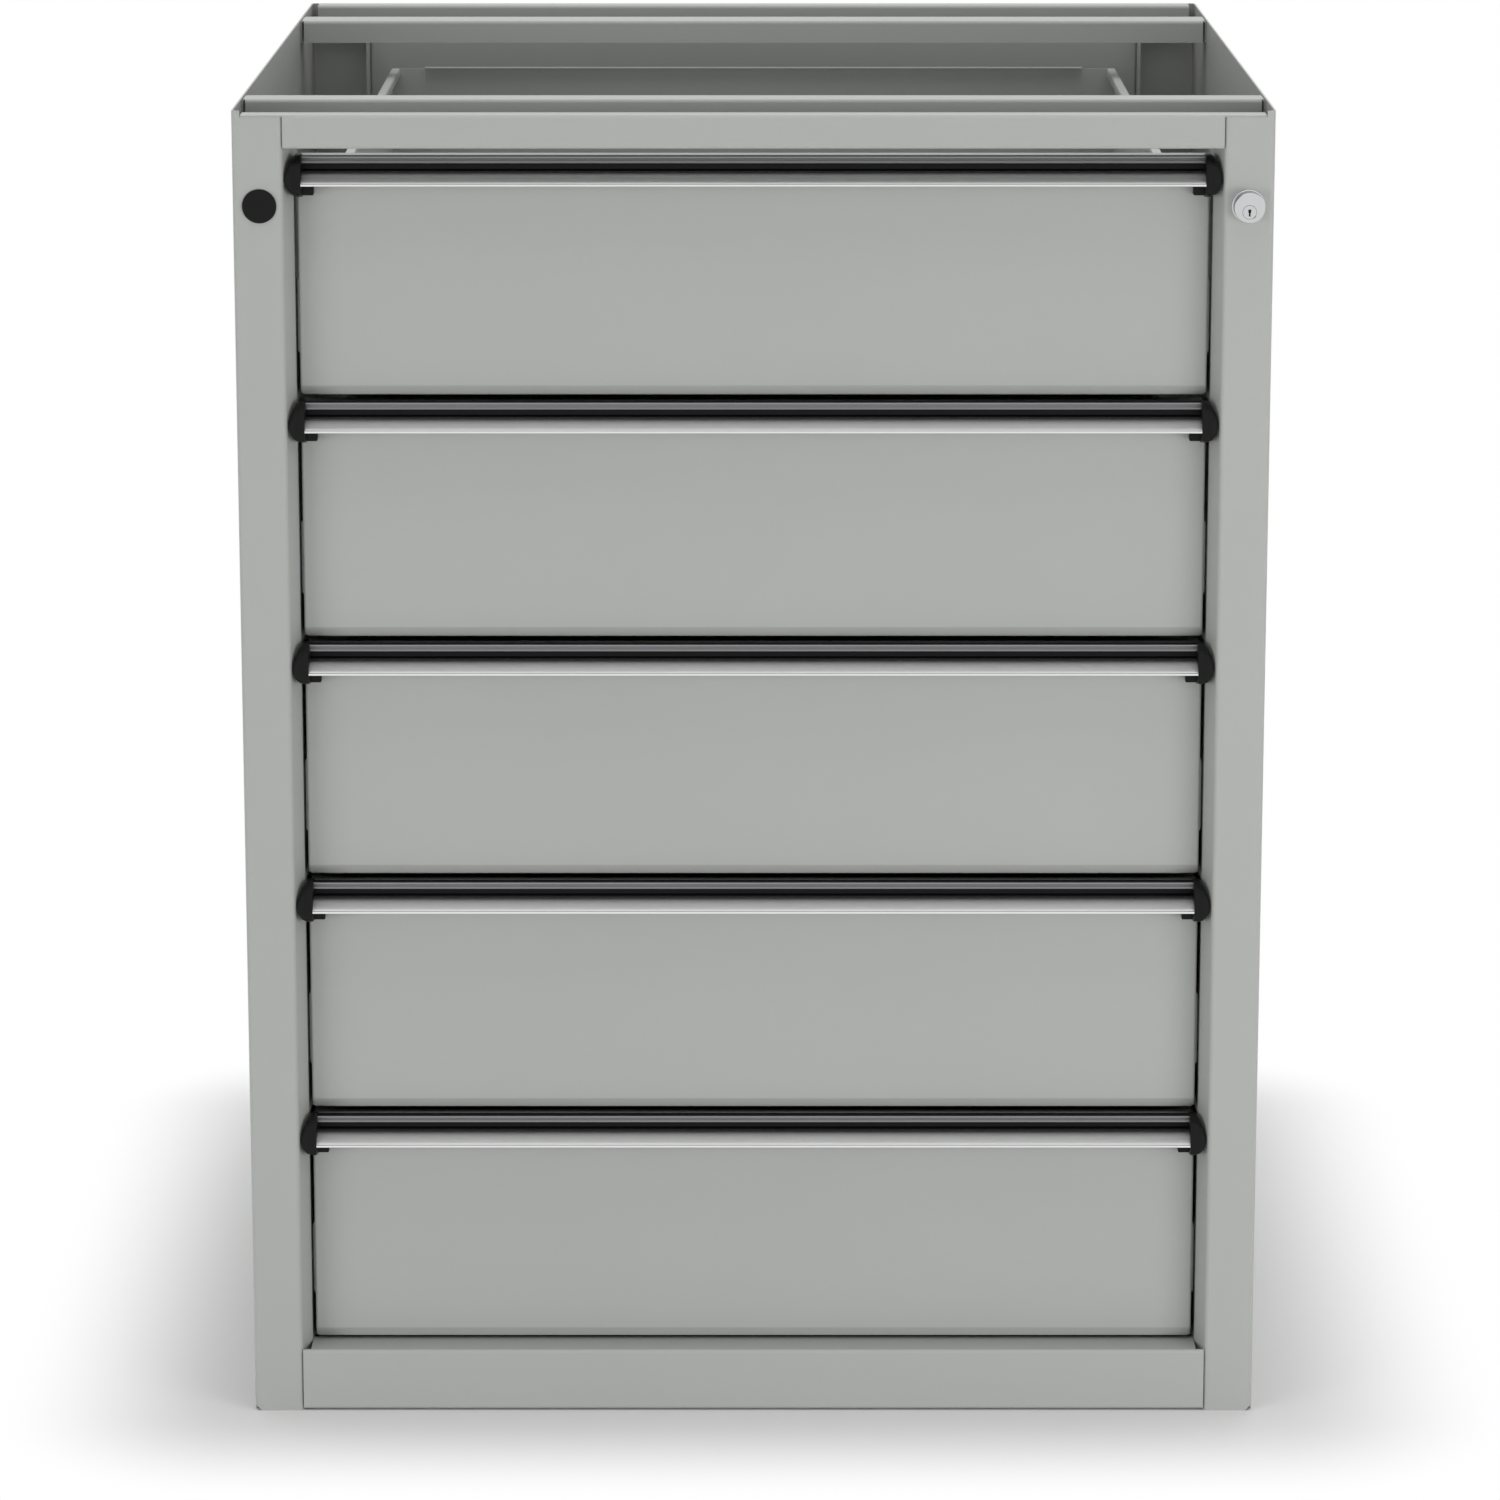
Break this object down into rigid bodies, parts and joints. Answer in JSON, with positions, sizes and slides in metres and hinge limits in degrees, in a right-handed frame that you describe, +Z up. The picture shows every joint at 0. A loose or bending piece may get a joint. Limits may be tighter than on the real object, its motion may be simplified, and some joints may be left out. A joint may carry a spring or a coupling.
{
  "type": "drawer cabinet",
  "caption": "Steel drawer cabinet for under a workbench: drawers on telescopic runners, full-width aluminium grip ledges, and a cylinder lock that works a locking bar.",
  "frame": {"origin": "on the floor, under the middle of the overall box", "axes": "+Z up; the drawer fronts face -Y and the drawers open towards -Y; +X is to the right seen from the front"},
  "size_m": [0.605, 0.66, 0.79],
  "materials": {
    "housing_paint": "light grey powder coat, satin",
    "drawer_paint": "light grey powder coat, satin",
    "grip_aluminium": "drawn and polished, clear anodised",
    "black_plastic": "moulded, fine matte",
    "runner_steel": "bright zinc plated",
    "lock_chrome": "satin chrome plated",
    "zinc_steel": "zinc plated"
  },
  "bodies": {
    "cabinet": {"right_side_panel": "housing_paint", "left_side_panel": "housing_paint", "front_top_rail": "housing_paint", "front_bottom_rail": "housing_paint", "front_traverse": "housing_paint", "rear_traverse": "housing_paint", "back_panel": "housing_paint", "base_pan": "housing_paint", "right_cabinet_runners": "runner_steel", "left_cabinet_runners": "runner_steel", "lock_body": "lock_chrome", "lock_nut": "zinc_steel", "lock_bar_guides": "black_plastic", "blanking_plug": "black_plastic"},
    "drawer_1": {"drawer_1_front": "drawer_paint", "drawer_1_tray": "drawer_paint", "drawer_1_back": "drawer_paint", "drawer_1_runners": "runner_steel", "drawer_1_grip_carrier": "black_plastic", "drawer_1_grip": "grip_aluminium", "drawer_1_grip_caps": "black_plastic"},
    "middle_runners_1": {"drawer_1_middle_runners": "runner_steel"},
    "drawer_2": {"drawer_2_front": "drawer_paint", "drawer_2_tray": "drawer_paint", "drawer_2_back": "drawer_paint", "drawer_2_runners": "runner_steel", "drawer_2_grip_carrier": "black_plastic", "drawer_2_grip": "grip_aluminium", "drawer_2_grip_caps": "black_plastic"},
    "middle_runners_2": {"drawer_2_middle_runners": "runner_steel"},
    "drawer_3": {"drawer_3_front": "drawer_paint", "drawer_3_tray": "drawer_paint", "drawer_3_back": "drawer_paint", "drawer_3_runners": "runner_steel", "drawer_3_grip_carrier": "black_plastic", "drawer_3_grip": "grip_aluminium", "drawer_3_grip_caps": "black_plastic"},
    "middle_runners_3": {"drawer_3_middle_runners": "runner_steel"},
    "drawer_4": {"drawer_4_front": "drawer_paint", "drawer_4_tray": "drawer_paint", "drawer_4_back": "drawer_paint", "drawer_4_runners": "runner_steel", "drawer_4_grip_carrier": "black_plastic", "drawer_4_grip": "grip_aluminium", "drawer_4_grip_caps": "black_plastic"},
    "middle_runners_4": {"drawer_4_middle_runners": "runner_steel"},
    "drawer_5": {"drawer_5_front": "drawer_paint", "drawer_5_tray": "drawer_paint", "drawer_5_back": "drawer_paint", "drawer_5_runners": "runner_steel", "drawer_5_grip_carrier": "black_plastic", "drawer_5_grip": "grip_aluminium", "drawer_5_grip_caps": "black_plastic"},
    "middle_runners_5": {"drawer_5_middle_runners": "runner_steel"},
    "lock_bar": {"lock_bar": "zinc_steel", "lock_tabs": "zinc_steel"},
    "lock_rotor": {"lock_rotor": "lock_chrome", "lock_cam": "zinc_steel", "lock_cam_screw": "zinc_steel"}
  },
  "joints": [
    {"name": "drawer_1_slide", "type": "slide", "parent": "cabinet", "child": "drawer_1", "axis": [0, -1, 0], "range_m": [0, 0.52]},
    {"name": "middle_runners_1_slide", "type": "slide", "parent": "cabinet", "child": "middle_runners_1", "axis": [0, -1, 0], "range_m": [0, 0.26]},
    {"name": "drawer_2_slide", "type": "slide", "parent": "cabinet", "child": "drawer_2", "axis": [0, -1, 0], "range_m": [0, 0.52]},
    {"name": "middle_runners_2_slide", "type": "slide", "parent": "cabinet", "child": "middle_runners_2", "axis": [0, -1, 0], "range_m": [0, 0.26]},
    {"name": "drawer_3_slide", "type": "slide", "parent": "cabinet", "child": "drawer_3", "axis": [0, -1, 0], "range_m": [0, 0.52]},
    {"name": "middle_runners_3_slide", "type": "slide", "parent": "cabinet", "child": "middle_runners_3", "axis": [0, -1, 0], "range_m": [0, 0.26]},
    {"name": "drawer_4_slide", "type": "slide", "parent": "cabinet", "child": "drawer_4", "axis": [0, -1, 0], "range_m": [0, 0.52]},
    {"name": "middle_runners_4_slide", "type": "slide", "parent": "cabinet", "child": "middle_runners_4", "axis": [0, -1, 0], "range_m": [0, 0.26]},
    {"name": "drawer_5_slide", "type": "slide", "parent": "cabinet", "child": "drawer_5", "axis": [0, -1, 0], "range_m": [0, 0.52]},
    {"name": "middle_runners_5_slide", "type": "slide", "parent": "cabinet", "child": "middle_runners_5", "axis": [0, -1, 0], "range_m": [0, 0.26]},
    {"name": "lock_bar_slide", "type": "slide", "parent": "cabinet", "child": "lock_bar", "axis": [0, 0, -1], "range_m": [0, 0.01131]},
    {"name": "lock_turn", "type": "hinge", "parent": "cabinet", "child": "lock_rotor", "pos_m": [0.2874, -0.32, 0.7322], "axis": [0, -1, 0], "range_deg": [0, 92]}
  ],
  "couplings": [
    {"joint": "middle_runners_1_slide", "follows": "drawer_1_slide", "ratio": 0.5},
    {"joint": "middle_runners_2_slide", "follows": "drawer_2_slide", "ratio": 0.5},
    {"joint": "middle_runners_3_slide", "follows": "drawer_3_slide", "ratio": 0.5},
    {"joint": "middle_runners_4_slide", "follows": "drawer_4_slide", "ratio": 0.5},
    {"joint": "middle_runners_5_slide", "follows": "drawer_5_slide", "ratio": 0.5},
    {"joint": "lock_turn", "follows": "lock_bar_slide", "rad_per_m": 138.84}
  ]
}
